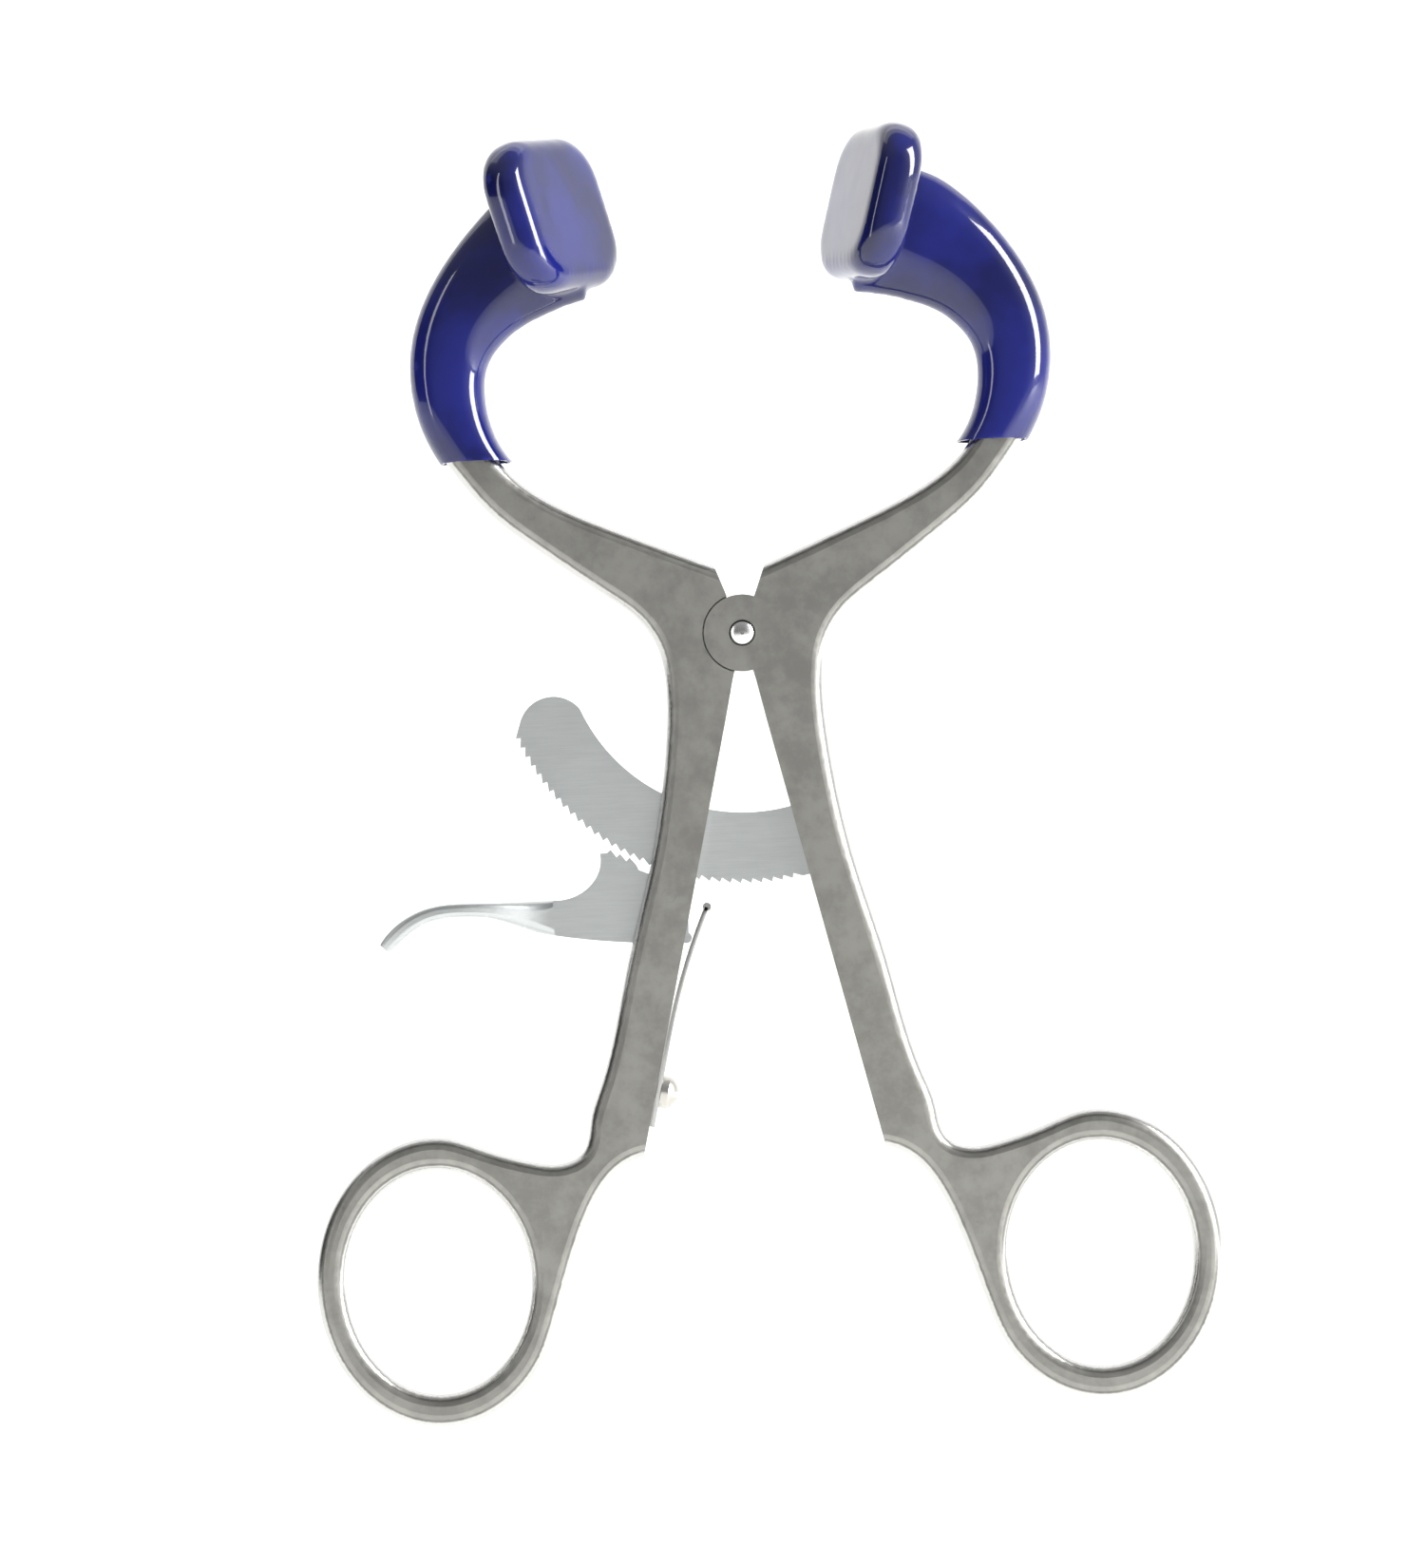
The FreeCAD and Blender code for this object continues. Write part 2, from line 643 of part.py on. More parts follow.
def rack_pins():
    """Two plain pins driven in from the back, through the rack's root."""
    pins = []
    for number, (x, z) in enumerate(rack_pin_places(), 1):
        pin = doc.addObject("Part::Cylinder", f"rack_pin_{number}")
        pin.setExpression("Radius", "Sizes.rack_pin_radius")
        pin.setExpression("Height", "Sizes.arm_thickness - Sizes.rack_pin_skin - Sizes.rack_pin_play")
        spot = Vector(x, size("arm_thickness") / 2, z) + home()
        pin.Placement = Placement(spot, Rotation(Vector(1, 0, 0), 90))
        pins.append(pin)
    group = doc.addObject("Part::Compound", "rack_pins")
    group.Links = pins
    group.Label = "rack_pins"
    return group


def home():
    """From the hinge, where outlines are drawn, to the part's own origin."""
    return Vector(size("ring_side"), 0, size("ring_drop"))


# ---- release lever ----

MESH_COUNT = 3  # teeth on the lever's nose
# The nose's outer corner and the relief beside its last tooth: outside the rack's crests, and an angle on.
NOSE_CORNER = (0.45, 1.3)
NOSE_RELIEF = (0.5, 1.0)
MESH_SHIFT = 0.1  # degrees by which the lever's teeth stand back from the rack's

# The trigger's centreline left of and below the lever pin, its thickness, and its width as a share.
TRIGGER = (
    (12.5, 1.85, 3.75, 0.30),
    (15.5, 1.40, 2.90, 0.44),
    (18.7, 0.85, 1.75, 0.74),
    (22.3, 0.60, 1.40, 0.93),
    (25.8, 0.95, 1.45, 1.00),
    (28.7, 2.40, 1.60, 1.00),
    (30.8, 4.40, 1.30, 0.90),
)
BELLY = ((-4.1, -4.85), (-9.1, -4.3))  # the lever's lower edge between the heel and the trigger
BROW = ((-10.3, 0.3), (-8.6, 1.3), (-7.55, 2.7))  # the upper edge between the trigger and the nose


def slot_foot_radius():
    """The radius from the hinge at which the slot ends below the release lever."""
    return lever_pin_distance() + size("lever_boss_radius") + size("slot_below_boss")


def from_pin(x, z):
    """A point given from the lever pin, with x towards the right."""
    pin = lever_pin_place()
    return (pin[0] + x, pin[1] + z)


def lifted(point):
    """A point of the lever in full mesh, moved to where it lies with the lever at rest."""
    pin = lever_pin_place()
    x, z = point[0] - pin[0], point[1] - pin[1]
    c, s = cos(size("lever_lift")), sin(size("lever_lift"))
    return from_pin(x * c - z * s, x * s + z * c)


def nose_line():
    """The toothed end, from its outer corner along the teeth to the relief beside the pin."""
    gap = size("mesh_clearance")
    outer = size("rack_outer_radius")
    pitch = size("tooth_pitch_angle")
    tooth = round((size("rack_tip_angle") - size("nose_angle")) / pitch)
    teeth = tooth_line(tooth, MESH_COUNT, out=gap, shift=MESH_SHIFT)
    first = size("rack_tip_angle") - tooth * pitch
    last = first - MESH_COUNT * pitch
    points = [polar(outer + NOSE_CORNER[0], first + NOSE_CORNER[1])] + teeth
    points += [polar(outer + gap, last - MESH_SHIFT), polar(outer + NOSE_RELIEF[0], last - NOSE_RELIEF[1])]
    return [lifted(p) for p in points]


def lever_outline():
    boss, heel = size("lever_boss_radius"), size("heel_radius")
    nose = nose_line()
    centre = spring_surface(heel_drop(), size("heel_clearance") + heel)
    tip = spring_surface(heel_drop(), size("heel_clearance"))
    boss_top = from_pin(-boss * sin(20), boss * cos(20))
    boss_mid = from_pin(boss * sin(40), boss * cos(40))
    boss_right = from_pin(boss, 0)
    heel_top = (centre[0] + heel * sin(30), centre[1] + heel * cos(30))
    heel_low = (centre[0] - heel * sin(18), centre[1] - heel * cos(18))
    x, z, thickness, _ = TRIGGER[0]
    top_joint = from_pin(-x, -z + thickness / 2)
    low_joint = from_pin(-x, -z - thickness / 2)
    belly = [heel_low] + [from_pin(*p) for p in BELLY] + [low_joint]
    brow = [top_joint] + [from_pin(*p) for p in BROW] + [nose[0]]
    curves = lines(flat(nose + [boss_top]))
    curves += [Part.Arc(*flat([boss_top, boss_mid, boss_right]))]
    curves += lines(flat([boss_right, heel_top]))
    curves += [Part.Arc(*flat([heel_top, tip, heel_low]))]
    curves += [spline(flat(belly))]
    curves += lines(flat([low_joint, top_joint]))
    curves += [spline(flat(brow))]
    return curves


def trigger_section(body, number, x, z, thickness, width, lean):
    """One cross-section of the trigger: flat along Y, and square to its centreline."""
    corner = min(thickness, width) * 0.35
    across, rise = from_pin(-x, -z)
    place = Placement(Vector(0, rise, across), Rotation(Vector(1, 0, 0), lean))
    outline = rounded_rectangle(width, thickness, corner)
    return new_sketch(body, f"section_{number}", outline, role="YZ_Plane", offset=place)


def release_lever():
    body = new_body("release_lever")
    new_pad(body, new_sketch(body, "outline", lever_outline()), "Sizes.lever_thickness")
    sections = []
    for i, (x, z, thickness, share) in enumerate(TRIGGER):
        back, ahead = TRIGGER[max(i - 1, 0)], TRIGGER[min(i + 1, len(TRIGGER) - 1)]
        lean = math.degrees(math.atan2(ahead[1] - back[1], ahead[0] - back[0])) if i else 0.0
        width = max(share * size("trigger_width"), size("lever_thickness") * 0.99)
        sections.append(trigger_section(body, i, x, z, thickness, width, -lean))
    loft = body.newObject("PartDesign::AdditiveLoft", "trigger")
    loft.Profile = sections[0]
    loft.Sections = sections[1:]
    doc.recompute()
    running = "Sizes.lever_pin_radius + Sizes.running_clearance"
    bore(body, "bore", *lever_pin_place(), running)
    return body


def lever_pin():
    body = new_body("lever_pin")
    sketch = new_sketch(body, "section", [circle(*lever_pin_place(), 1.0)])
    bind_radius(sketch, 0, "Sizes.lever_pin_radius")
    new_pad(body, sketch, "Sizes.arm_thickness - 2 * Sizes.lever_pin_sunk")
    return body


# ---- leaf spring and its screw ----


def leaf_spring():
    """A flat strip along the left shank that bends away from it and ends in a small rolled lip."""
    body = new_body("leaf_spring")
    foot, bend = screw_drop() + size("spring_tail"), screw_drop() - size("spring_flat")
    tip = heel_drop() - size("spring_past_heel")
    thick = size("spring_thickness")
    sides = []
    for offset in (0.0, -thick):
        start, knee, end = (spring_surface(d, offset) for d in (foot, bend, tip))
        middle = spring_surface((bend + tip) / 2, offset)
        sides.append((start, knee, middle, end))
    near, far = sides
    curves = lines(flat([far[0], near[0], near[1]]))
    curves += [Part.Arc(*flat([near[1], near[2], near[3]]))]
    curves += lines(flat([near[3], far[3]]))
    curves += [Part.Arc(*flat([far[3], far[2], far[1]]))]
    curves += lines(flat([far[1], far[0]]))
    new_pad(body, new_sketch(body, "strip", curves), "Sizes.spring_width")
    lip = spring_surface(tip + size("spring_tip_radius") * 0.6, -thick / 2)
    roll = new_sketch(body, "lip", [circle(lip[0], lip[1], 1.0)])
    bind_radius(roll, 0, "Sizes.spring_tip_radius")
    new_pad(body, roll, "Sizes.spring_width")
    hole = new_sketch(body, "hole", [circle(0, 0, 1.0)], offset=shank_frame(screw_drop(), False))
    bind_radius(hole, 0, "Sizes.screw_radius + Sizes.screw_play")
    new_pocket(body, hole, "4 * Sizes.spring_thickness")
    return body


def spring_screw():
    """A slotted screw with a low round head, driven square into the left shank."""
    body = new_body("spring_screw")
    frame = shank_frame(screw_drop(), True)
    shank, head = size("screw_radius"), size("screw_head_radius")
    seat = 2 * size("seat_clearance") + size("spring_thickness")
    top = seat + size("screw_head_height")
    dome = size("screw_head_height") * 0.6
    corners = [(0, top), (0, -size("screw_grip")), (shank, -size("screw_grip")), (shank, seat)]
    corners += [(head, seat), (head, top - dome)]
    profile = lines(flat(corners))
    profile += [Part.Arc(*flat([corners[-1], dome_middle(head, top - dome, dome), (0, top)]))]
    turn_profile(body, "profile", profile, offset=frame, role="XZ_Plane")
    slot, deep = size("screw_slot_width") / 2, top - size("screw_slot_depth")
    outline = [(-slot, deep), (slot, deep), (slot, top + 1), (-slot, top + 1), (-slot, deep)]
    sketch = new_sketch(body, "slot", lines(flat(outline)), offset=frame)
    new_pocket(body, sketch, "2 * Sizes.screw_head_radius + 1")
    return body


# ---- jaw covers ----


def jaw_cover(name, side, steel):
    """A moulded sleeve: a round-edged horn and a bite pad in one, hollowed by the steel that it covers."""
    inner, outer = jaw_edges(side, first=COVER_START, grow=size("cover_wall"))
    horn = new_body(f"{name}_horn")
    curves = [spline(flat(outer, side))] + lines(flat([outer[-1], inner[-1]], side))
    curves += [spline(flat(inner[::-1], side))] + lines(flat([inner[0], outer[0]], side))
    sleeve = new_pad(horn, new_sketch(horn, "outline", curves), "Sizes.arm_thickness + 2 * Sizes.cover_wall")
    half = size("arm_thickness") / 2 + size("cover_wall")

    def long_edge(edge):
        return on_faces(edge, half) and edge.Curve.TypeId == "Part::GeomBSplineCurve"

    new_fillet(horn, sleeve, long_edge, "Sizes.cover_round")
    foot, wide = size("cover_foot_rise"), 2 * size("jaw_reach")
    below = [(0, 0), (wide, 0), (wide, foot), (0, foot), (0, 0)]
    new_pocket(horn, new_sketch(horn, "foot", lines(flat(below, side))), "4 * Sizes.arm_thickness")
    pad = new_body(f"{name}_pad")
    block = add_jaw_plate(pad, "plate", side, 0.0, "Sizes.pad_thickness")

    def rim_edge(edge):
        return edge.Length > 1.0 and not is_thickness_edge(edge)

    new_fillet(pad, block, rim_edge, "Sizes.pad_round")
    add_collar(pad, side)
    whole = doc.addObject("Part::Fuse", f"{name}_whole")
    whole.Base, whole.Tool = horn, pad
    cover = doc.addObject("Part::Cut", name)
    cover.Base, cover.Tool = whole, steel
    cover.Label = name
    doc.recompute()
    return cover


def is_thickness_edge(edge):
    """Whether an edge of a pad's block runs through its thickness."""
    return abs(edge.Length - size("pad_thickness")) < 1e-3 and edge.Curve.TypeId == "Part::GeomLine"


# ---- build, check and write every piece ----

left = left_arm()
right = right_arm()
pieces = [
    left,
    right,
    jaw_cover("left_jaw_cover", LEFT, left),
    jaw_cover("right_jaw_cover", RIGHT, right),
    hinge_pin(),
    ratchet_rack(),
    rack_pins(),
    release_lever(),
    lever_pin(),
    leaf_spring(),
    spring_screw(),
]
doc.recompute()

for item in doc.Objects:
    if "Invalid" in item.State or "Error" in item.State:
        raise RuntimeError(f"{item.Name} failed: {item.State}")

for piece in pieces:
    shape = piece.Shape
    if shape.isNull() or not shape.isValid() or not shape.Solids:
        raise RuntimeError(f"{piece.Label} has no valid solid")

os.makedirs("parts", exist_ok=True)
for piece in pieces:
    piece.Shape.exportStep(f"parts/{piece.Label}.step")
    box = piece.Shape.BoundBox
    print(piece.Label, len(piece.Shape.Solids), round(piece.Shape.Volume, 1), "mm3", box)

pin_x, pin_z = lever_pin_place()
lever_axis = home() + Vector(pin_x, 0, pin_z)
print("hinge axis through", home(), "along Y; lever axis through", lever_axis, "along Y")
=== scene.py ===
# %% [markdown]
# # A ratcheted, ring-handled mouth gag
# The instrument is two steel arms hinged side by side on a rivet, so that squeezing the finger rings
# spreads its two blue jaws, with a toothed rack that holds them open and a sprung lever that lets them go.
# The rigid steel pieces come from the engineering model and keep their exact shape, so here they only get
# their finish. The blue covers are different: on the real thing the jaws are dipped or moulded in soft
# plastic, which flows into every corner, so they are modelled again as one skin. The leaf spring is
# modelled again too, as one fixed piece in its bent shape.
# All lengths are in metres, with +Z from the finger rings to the jaws and -Y towards the viewer.

import json
import math

import bmesh
import bpy
from mathutils import Matrix, Vector


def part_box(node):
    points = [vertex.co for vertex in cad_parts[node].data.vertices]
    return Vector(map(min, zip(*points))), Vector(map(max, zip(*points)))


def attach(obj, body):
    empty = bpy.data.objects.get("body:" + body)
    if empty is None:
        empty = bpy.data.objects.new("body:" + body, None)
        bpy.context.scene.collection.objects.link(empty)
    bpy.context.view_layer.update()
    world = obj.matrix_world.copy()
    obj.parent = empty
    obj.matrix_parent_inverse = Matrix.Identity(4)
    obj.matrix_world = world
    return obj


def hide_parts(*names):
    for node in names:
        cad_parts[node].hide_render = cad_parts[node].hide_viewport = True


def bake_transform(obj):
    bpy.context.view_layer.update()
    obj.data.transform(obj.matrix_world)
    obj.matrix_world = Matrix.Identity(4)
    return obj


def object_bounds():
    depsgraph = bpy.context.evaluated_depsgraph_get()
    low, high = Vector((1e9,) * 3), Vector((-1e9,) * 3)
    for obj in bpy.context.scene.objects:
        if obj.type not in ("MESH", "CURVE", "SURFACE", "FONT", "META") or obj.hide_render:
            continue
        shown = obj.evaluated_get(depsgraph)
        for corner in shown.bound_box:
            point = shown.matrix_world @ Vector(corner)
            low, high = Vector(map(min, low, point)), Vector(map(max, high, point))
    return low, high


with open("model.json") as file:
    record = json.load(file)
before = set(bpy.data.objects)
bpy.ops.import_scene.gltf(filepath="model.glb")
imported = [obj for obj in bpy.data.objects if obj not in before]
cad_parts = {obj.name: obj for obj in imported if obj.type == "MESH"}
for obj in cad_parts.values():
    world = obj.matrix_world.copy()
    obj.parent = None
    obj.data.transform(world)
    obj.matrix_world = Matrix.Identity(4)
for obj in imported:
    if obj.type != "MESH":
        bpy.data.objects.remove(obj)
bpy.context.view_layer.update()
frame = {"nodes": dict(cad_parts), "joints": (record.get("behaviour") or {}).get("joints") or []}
MM = 0.001
NODES = frame["nodes"]
JOINTS = {joint["name"]: joint for joint in frame["joints"]}
HINGE = Vector(JOINTS["hinge"]["pos_m"])
LEFT, RIGHT = -1, 1
SIDE_NAMES = {LEFT: "left", RIGHT: "right"}
print("nodes:", sorted(NODES))
print("hinge at", [round(v / MM, 2) for v in HINGE], "mm")

# %% [markdown]
# ## Working as by hand
# The pieces are shaped with operators, as if each step were clicked in the viewport. An operator works on
# whatever is selected, and the imported steel is still selected, so a step starts by clearing the
# selection. Faces are then picked by their place, because the script can't see the screen.

# %% Small helpers for selecting and editing
SAME_POINT = 0.005 * MM  # vertices closer than this are one
SMOOTH_BELOW = math.radians(40)  # edges that turn less than this are shaded smooth


def only(piece):
    """Select one object and make it the active one."""
    bpy.ops.object.select_all(action="DESELECT")
    piece.select_set(True)
    bpy.context.view_layer.objects.active = piece
    return piece


def edit(piece, kind="FACE"):
    only(piece)
    bpy.ops.object.mode_set(mode="EDIT")
    bpy.ops.mesh.select_mode(type=kind)


def leave_edit():
    bpy.ops.object.mode_set(mode="OBJECT")


def pick(piece, wanted, kind="faces"):
    """In edit mode, select just the faces, edges or vertices that wanted() accepts."""
    bpy.ops.mesh.select_all(action="DESELECT")
    mesh = bmesh.from_edit_mesh(piece.data)
    for item in getattr(mesh, kind):
        if wanted(item):
            item.select_set(True)
    mesh.select_flush_mode()
    bmesh.update_edit_mesh(piece.data)


def apply_modifier(piece, kind, **settings):
    """Add a modifier with these settings and apply it at once."""
    only(piece)
    modifier = piece.modifiers.new(kind.lower(), kind)
    for name, value in settings.items():
        setattr(modifier, name, value)
    bpy.ops.object.modifier_apply(modifier=modifier.name)


def settle(piece):
    """Put the object's place and turn into its mesh, so that it sits at the origin."""
    only(piece)
    bpy.ops.object.transform_apply(location=True, rotation=True, scale=True)


def outward(piece):
    """Merge doubles and point every face outwards."""
    edit(piece)
    bpy.ops.mesh.select_all(action="SELECT")
    bpy.ops.mesh.remove_doubles(threshold=SAME_POINT)
    bpy.ops.mesh.normals_make_consistent(inside=False)
    leave_edit()


def report(piece):
    low, high = Vector(piece.bound_box[0]), Vector(piece.bound_box[6])
    size = [round(v / MM, 1) for v in high - low]
    print(piece.name, len(piece.data.polygons), "faces,", size, "mm")


# %% [markdown]
# ## The camera
# The instrument is seen square on, from about 0.7 m, with the lens at the height of the shanks. It leans a
# little to one side in the frame. That is done by rolling the camera, so that the instrument itself stays
# upright in its own axes.

# %% Place the camera
VIEW_DISTANCE = 0.7
VIEW_ELEVATION = math.radians(-1.7)
VIEW_ROLL = math.radians(2.5)
FRAME_HEIGHT = 0.1692  # what the long side of the frame takes in, at the hinge
AIM_RIGHT, AIM_DOWN = 3.2 * MM, 16.2 * MM  # the frame's middle, from the hinge
SENSOR = 36.0  # millimetres, on the frame's long side


def place_camera():
    away = Vector((0, -math.cos(VIEW_ELEVATION), math.sin(VIEW_ELEVATION)))
    level_right = Vector((1, 0, 0))
    level_up = away.cross(level_right)
    right = level_right * math.cos(VIEW_ROLL) - level_up * math.sin(VIEW_ROLL)
    up = level_right * math.sin(VIEW_ROLL) + level_up * math.cos(VIEW_ROLL)
    aim = HINGE - right * AIM_RIGHT - up * AIM_DOWN
    bpy.ops.object.camera_add()
    camera = bpy.context.object
    camera.name = "camera"
    camera.matrix_world = Matrix.Translation(aim + away * VIEW_DISTANCE) @ Matrix(
        (right, up, away)
    ).transposed().to_4x4()
    camera.data.sensor_fit = "VERTICAL"
    camera.data.sensor_height = SENSOR
    camera.data.lens = SENSOR * VIEW_DISTANCE / FRAME_HEIGHT
    camera.data.clip_start = 0.01
    bpy.context.scene.camera = camera
    return camera


camera = place_camera()
print("lens", round(camera.data.lens, 1), "mm, camera at", [round(v, 3) for v in camera.location])

# %% [markdown]
# ## The jaw covers: the horn
# Under each cover the steel jaw rises from the neck, swings outwards and curls back in to carry the pad.
# The cover over it is a tube with a section like a worn bar of soap. It could be a curve with a bevel, but
# a bevelled curve keeps one section, and this one gets broader towards the pad. So it is built by extruding
# a rounded rectangle from station to station, with the new end turned and widened each time, and a
# subdivision surface rounds the whole run.

# %% Build the horns
COVER_THICKNESS = 6.5 * MM  # front to back
SECTION_ROUND = 3.0 * MM
HORN_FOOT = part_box("left_jaw_cover")[0].z + 0.5 * MM
# Each station: the middle of the horn across and up from the hinge in mm, its direction in degrees from
# upright towards the outside, and its width in mm. The left and right horn part ways near the pad.
HORN_LINE = (
    (16.6, 10.0, 59.0, 7.8),
    (20.2, 12.1, 56.9, 7.1),
    (24.8, 15.6, 46.6, 6.5),
    (28.1, 19.6, 32.5, 6.5),
    (30.2, 24.0, 16.4, 7.7),
    (30.9, 29.0, -2.3, 8.4),
    (29.9, 33.4, -25.0, 9.4),
    (26.8, 37.8, -43.7, 10.9),
)
HORN_ENDS = {
    LEFT: (
        (23.0, 40.8, -56.9, 13.0),
        (20.9, 42.3, -59.0, 14.0),
        (18.8, 43.2, -60.5, 14.8),
        (18.3, 43.5, -60.5, 14.8),
    ),
    RIGHT: (
        (23.0, 40.9, -62.0, 13.2),
        (19.7, 42.6, -67.0, 14.5),
        (16.1, 43.4, -70.8, 15.0),
        (15.5, 43.6, -70.8, 15.0),
    ),
}


def turn_selection(degrees, centre):
    """Turn what is selected about Y; positive leans the top towards +X."""
    bpy.ops.transform.rotate(value=-math.radians(degrees), orient_axis="Y", center_override=centre)


def horn_station(side, station):
    x, z, lean, width = station
    return HINGE + Vector((side * x, 0, z)) * MM, side * lean, width * MM


def new_horn(side):
    centre, lean, width = horn_station(side, HORN_LINE[0])
    bpy.ops.object.select_all(action="DESELECT")
    bpy.ops.mesh.primitive_plane_add(size=1.0, location=centre)
    horn = bpy.context.object
    horn.name = f"{SIDE_NAMES[side]}_horn"
    horn.scale = (width, COVER_THICKNESS, 1.0)
    settle(horn)
    edit(horn, "VERT")
    bpy.ops.mesh.select_all(action="SELECT")
    bpy.ops.mesh.bevel(offset=SECTION_ROUND, segments=3, affect="VERTICES")
    turn_selection(lean, centre)
    bpy.ops.mesh.select_mode(type="FACE")
    for station in (*HORN_LINE[1:], *HORN_ENDS[side]):
        last_centre, last_lean, last_width = centre, lean, width
        centre, lean, width = horn_station(side, station)
        step = centre - last_centre
        bpy.ops.mesh.extrude_region_move(TRANSFORM_OT_translate={"value": step})
        turn_selection(-last_lean, centre)
        widen = (width / last_width, 1.0, 1.0)
        bpy.ops.transform.resize(value=widen, center_override=centre)
        turn_selection(lean, centre)
    leave_edit()
    outward(horn)
    return horn


horns = {side: new_horn(side) for side in (LEFT, RIGHT)}
for horn in horns.values():
    report(horn)

# %% [markdown]
# ## The jaw covers: the pad
# At the end of each horn sits a pad that holds the teeth or the cheek: a thick plate with round corners and
# a rounded rim. A cube is the start. Its four short edges take a wide bevel, which makes the outline, then
# both rims take a smaller one.

# %% Build the pads
PAD_DEPTH, PAD_LENGTH, PAD_THICKNESS = 19.5 * MM, 17.0 * MM, 5.0 * MM
PAD_CORNER, PAD_RIM = 5.5 * MM, 2.1 * MM
PAD_LEAN = 15.0  # degrees
# Each pad's distance across from the hinge in mm, and its turn towards the viewer in degrees
PAD_PLACES = {LEFT: (18.7, 29.0), RIGHT: (15.9, 16.0)}
PAD_RISE, PAD_FORWARD = 45.9 * MM, 1.6 * MM


def pad_matrix(side):
    across, turn = PAD_PLACES[side]
    spot = HINGE + Vector((side * across * MM, -PAD_FORWARD, PAD_RISE))
    lean = Matrix.Rotation(math.radians(side * PAD_LEAN), 4, "Y")
    return Matrix.Translation(spot) @ lean @ Matrix.Rotation(math.radians(side * turn), 4, "Z")


def new_pad(side):
    bpy.ops.object.select_all(action="DESELECT")
    bpy.ops.mesh.primitive_cube_add(size=1.0)
    pad = bpy.context.object
    pad.name = f"{SIDE_NAMES[side]}_pad"
    pad.scale = (PAD_THICKNESS, PAD_DEPTH, PAD_LENGTH)
    settle(pad)
    edit(pad, "EDGE")
    half = PAD_THICKNESS / 2
    pick(pad, lambda e: abs((e.verts[0].co - e.verts[1].co).x) > half, "edges")
    bpy.ops.mesh.bevel(offset=PAD_CORNER, segments=8, affect="EDGES")
    pick(pad, lambda e: abs(abs(e.verts[0].co.x + e.verts[1].co.x) / 2 - half) < SAME_POINT, "edges")
    bpy.ops.mesh.bevel(offset=PAD_RIM, segments=6, affect="EDGES")
    leave_edit()
    pad.matrix_world = pad_matrix(side)
    settle(pad)
    outward(pad)
    return pad


pads = {side: new_pad(side) for side in (LEFT, RIGHT)}
for pad in pads.values():
    report(pad)

# %% [markdown]
# ## The jaw covers: one skin
# Dipping leaves no seam between horn and pad: the wet plastic pulls into the corner as a small fillet. A
# boolean would leave a knife-sharp corner, so the two closed meshes are joined and a voxel remesh makes
# one skin of them, which a smoothing pass then relaxes, more around the root of the pad than elsewhere.
# Last, the foot is cut off straight, as the real one is trimmed with a blade, and its end is hollowed a
# little around the steel, so that the thickness of the plastic shows.

# %% Join, relax and trim the covers
VOXEL = 0.36 * MM
# The extra smoothing acts in a box on the pad's outer face: how far it goes into the pad and out from it,
# to each side of the pad's middle, and up from the middle
ROOT_INSIDE, ROOT_REACH, ROOT_ASIDE, ROOT_TOP = 0.8 * MM, 3.4 * MM, 7.5 * MM, 6.5 * MM
FOOT_WALL = 0.3 * MM  # the plastic that shows round the hollow in the foot, and the hollow's depth


def near_root(side, point):
    """Whether a point lies near the corner between the pad's outer face and the horn."""
    local = pad_matrix(side).inverted() @ point
    out = side * local.x - PAD_THICKNESS / 2
    return -ROOT_INSIDE < out < ROOT_REACH and abs(local.y) < ROOT_ASIDE and local.z < ROOT_TOP


def new_cover(side):
    horn, pad = horns[side], pads[side]
    apply_modifier(horn, "SUBSURF", levels=2, render_levels=2)
    bpy.ops.object.select_all(action="DESELECT")
    pad.select_set(True)
    horn.select_set(True)
    bpy.context.view_layer.objects.active = horn
    bpy.ops.object.join()
    cover = horn
    cover.name = f"{SIDE_NAMES[side]}_cover"
    apply_modifier(cover, "REMESH", mode="VOXEL", voxel_size=VOXEL)
    apply_modifier(cover, "SMOOTH", factor=0.5, iterations=6)
    root = cover.vertex_groups.new(name="root")
    root.add([v.index for v in cover.data.vertices if near_root(side, v.co)], 1.0, "REPLACE")
    apply_modifier(cover, "SMOOTH", factor=0.5, iterations=12, vertex_group="root")
    apply_modifier(cover, "SMOOTH", factor=0.5, iterations=3)
    return cover


def trim_foot(cover):
    edit(cover)
    bpy.ops.mesh.select_all(action="SELECT")
    bpy.ops.mesh.bisect(
        plane_co=(0, 0, HORN_FOOT), plane_no=(0, 0, 1), use_fill=True, clear_inner=True, clear_outer=False
    )
    pick(cover, lambda f: f.normal.z < -0.99 and f.calc_center_median().z < HORN_FOOT + 0.02 * MM)
    bpy.ops.mesh.inset(thickness=FOOT_WALL, depth=0.0)
    bpy.ops.mesh.extrude_region_move(TRANSFORM_OT_translate={"value": (0, 0, FOOT_WALL)})
    leave_edit()


covers = {side: new_cover(side) for side in (LEFT, RIGHT)}
for side, cover in covers.items():
    trim_foot(cover)
    outward(cover)
    only(cover)
    bpy.ops.object.shade_smooth_by_angle(angle=SMOOTH_BELOW)
    report(cover)
